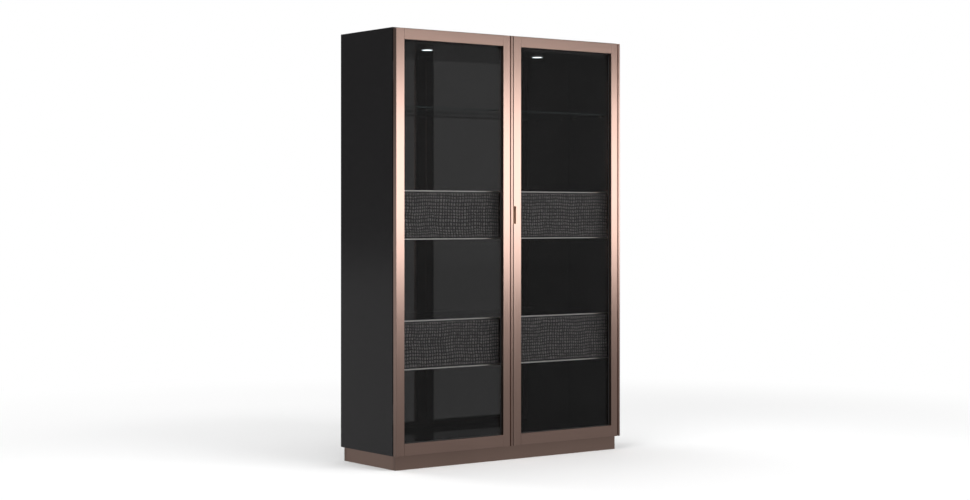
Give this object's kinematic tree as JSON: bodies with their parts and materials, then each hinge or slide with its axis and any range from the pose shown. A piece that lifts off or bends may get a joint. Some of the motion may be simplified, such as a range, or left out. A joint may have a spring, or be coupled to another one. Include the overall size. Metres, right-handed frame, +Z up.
{
  "type": "china cabinet",
  "caption": "Tall display cabinet with a black lacquered case, bronze-framed glass doors, drawers behind them, a glass shelf and recessed spotlights.",
  "frame": {"origin": "on the floor, under the middle of the whole cabinet's box, doors closed", "axes": "+X to the viewer's right, +Y from the doors to the back, +Z up"},
  "size_m": [1.328, 0.464, 2],
  "materials": {
    "black_lacquer": "high-gloss black lacquer",
    "gloss_lining": "high-gloss black lacquer on the lining and case boards",
    "bronze_plinth": "satin bronze",
    "rear_board": "matte dark board",
    "black_rubber": "matte",
    "black_plastic": "matte",
    "lamp_lens": "frosted",
    "lamp_steel": "brushed",
    "door_glass": "lightly smoked, clear",
    "shelf_glass": "clear with a green-grey edge",
    "bronze_metal": "satin anodised bronze",
    "pull_metal": "satin dark bronze",
    "champagne_metal": "brushed champagne",
    "embossed_leather": "embossed with reptile-skin scales, semi-gloss",
    "drawer_wood": "satin dark stain",
    "hardware_steel": "brushed"
  },
  "bodies": {
    "cabinet": {"back_lining": "gloss_lining", "bottom_panel": "black_lacquer", "cable_gland": "black_rubber", "false_ceiling": "black_lacquer", "glass_shelf": "shelf_glass", "hinge_pins": "hardware_steel", "lamp_driver": "black_plastic", "left_side_panel": "black_lacquer", "light_box_fascia": "black_lacquer", "lower_case_bottom": "gloss_lining", "lower_case_bottom_trim": "champagne_metal", "lower_case_divider": "black_lacquer", "lower_case_runners": "hardware_steel", "lower_case_top": "gloss_lining", "lower_case_top_trim": "champagne_metal", "magnetic_catches": "hardware_steel", "plinth_back": "bronze_plinth", "plinth_front": "bronze_plinth", "plinth_left": "bronze_plinth", "plinth_right": "bronze_plinth", "rear_panel": "rear_board", "right_side_panel": "black_lacquer", "shelf_pins": "hardware_steel", "side_hinge_leaves": "hardware_steel", "spotlight_housings": "lamp_steel", "spotlight_lenses": "lamp_lens", "top_panel": "black_lacquer", "upper_case_bottom": "gloss_lining", "upper_case_bottom_trim": "champagne_metal", "upper_case_divider": "black_lacquer", "upper_case_runners": "hardware_steel", "upper_case_top": "gloss_lining", "upper_case_top_trim": "champagne_metal"},
    "left_door": {"left_door_bottom_rail": "bronze_metal", "left_door_glass": "door_glass", "left_door_hinge_leaves": "hardware_steel", "left_door_left_stile": "bronze_metal", "left_door_right_stile": "bronze_metal", "left_door_strike": "hardware_steel", "left_door_top_rail": "bronze_metal"},
    "right_door": {"finger_pull": "pull_metal", "right_door_bottom_rail": "bronze_metal", "right_door_glass": "door_glass", "right_door_hinge_leaves": "hardware_steel", "right_door_left_stile": "bronze_metal", "right_door_right_stile": "bronze_metal", "right_door_strike": "hardware_steel", "right_door_top_rail": "bronze_metal"},
    "left_upper_drawer": {"left_upper_drawer_box": "drawer_wood", "left_upper_drawer_front": "embossed_leather", "left_upper_drawer_slides": "hardware_steel"},
    "right_upper_drawer": {"right_upper_drawer_box": "drawer_wood", "right_upper_drawer_front": "embossed_leather", "right_upper_drawer_slides": "hardware_steel"},
    "left_lower_drawer": {"left_lower_drawer_box": "drawer_wood", "left_lower_drawer_front": "embossed_leather", "left_lower_drawer_slides": "hardware_steel"},
    "right_lower_drawer": {"right_lower_drawer_box": "drawer_wood", "right_lower_drawer_front": "embossed_leather", "right_lower_drawer_slides": "hardware_steel"}
  },
  "joints": [
    {"name": "left_door_swing", "type": "hinge", "parent": "cabinet", "child": "left_door", "pos_m": [-0.6615, -0.205, 1.031], "axis": [0, 0, -1], "range_deg": [0, 105]},
    {"name": "right_door_swing", "type": "hinge", "parent": "cabinet", "child": "right_door", "pos_m": [0.6615, -0.205, 1.031], "axis": [0, 0, 1], "range_deg": [0, 105]},
    {"name": "left_upper_drawer_slide", "type": "slide", "parent": "cabinet", "child": "left_upper_drawer", "axis": [0, -1, 0], "range_m": [0, 0.134]},
    {"name": "left_lower_drawer_slide", "type": "slide", "parent": "cabinet", "child": "left_lower_drawer", "axis": [0, -1, 0], "range_m": [0, 0.134]},
    {"name": "right_upper_drawer_slide", "type": "slide", "parent": "cabinet", "child": "right_upper_drawer", "axis": [0, -1, 0], "range_m": [0, 0.134]},
    {"name": "right_lower_drawer_slide", "type": "slide", "parent": "cabinet", "child": "right_lower_drawer", "axis": [0, -1, 0], "range_m": [0, 0.134]}
  ],
  "couplings": [
    {"joint": "left_upper_drawer_slide", "follows": "left_door_swing", "m_per_rad": 0.073},
    {"joint": "left_lower_drawer_slide", "follows": "left_door_swing", "m_per_rad": 0.073},
    {"joint": "right_upper_drawer_slide", "follows": "right_door_swing", "m_per_rad": 0.073},
    {"joint": "right_lower_drawer_slide", "follows": "right_door_swing", "m_per_rad": 0.073}
  ]
}
